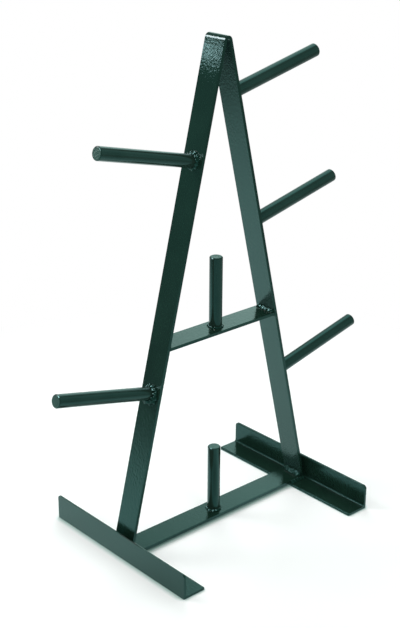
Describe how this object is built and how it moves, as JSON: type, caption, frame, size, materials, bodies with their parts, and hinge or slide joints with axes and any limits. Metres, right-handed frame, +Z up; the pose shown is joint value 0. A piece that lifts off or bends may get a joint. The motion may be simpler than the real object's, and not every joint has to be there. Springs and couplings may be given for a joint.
{
  "type": "weight plate tree",
  "caption": "Welded A-frame rack of painted flat bar on angle-iron feet, with side pegs tilted up and upright pegs on its crossbars that hold weight plates.",
  "frame": {"origin": "on the floor, in the middle of the space that the rack takes up from above", "axes": "+Z up, +X to the right across the A-frame, with the feet along Y and the front at -Y"},
  "size_m": [0.767, 0.381, 0.959],
  "materials": {
    "enamel": "dark green gloss enamel over steel",
    "weld_enamel": "dark green gloss enamel over rippled weld beads"
  },
  "bodies": {
    "root": {"a_frame": "enamel", "mid_crossbar": "enamel", "base_crossbar": "enamel", "left_foot": "enamel", "right_foot": "enamel", "upper_left_peg": "enamel", "lower_left_peg": "enamel", "upper_right_peg": "enamel", "middle_right_peg": "enamel", "lower_right_peg": "enamel", "mid_upright_peg": "enamel", "base_upright_peg": "enamel", "upper_left_peg_weld": "weld_enamel", "lower_left_peg_weld": "weld_enamel", "upper_right_peg_weld": "weld_enamel", "middle_right_peg_weld": "weld_enamel", "lower_right_peg_weld": "weld_enamel", "mid_upright_peg_weld": "weld_enamel", "base_upright_peg_weld": "weld_enamel", "mid_crossbar_left_top_weld": "weld_enamel", "mid_crossbar_left_under_weld": "weld_enamel", "mid_crossbar_right_top_weld": "weld_enamel", "mid_crossbar_right_under_weld": "weld_enamel", "left_leg_weld": "weld_enamel", "right_leg_weld": "weld_enamel", "left_foot_front_weld": "weld_enamel", "left_foot_rear_weld": "weld_enamel", "right_foot_front_weld": "weld_enamel", "right_foot_rear_weld": "weld_enamel"}
  },
  "joints": []
}
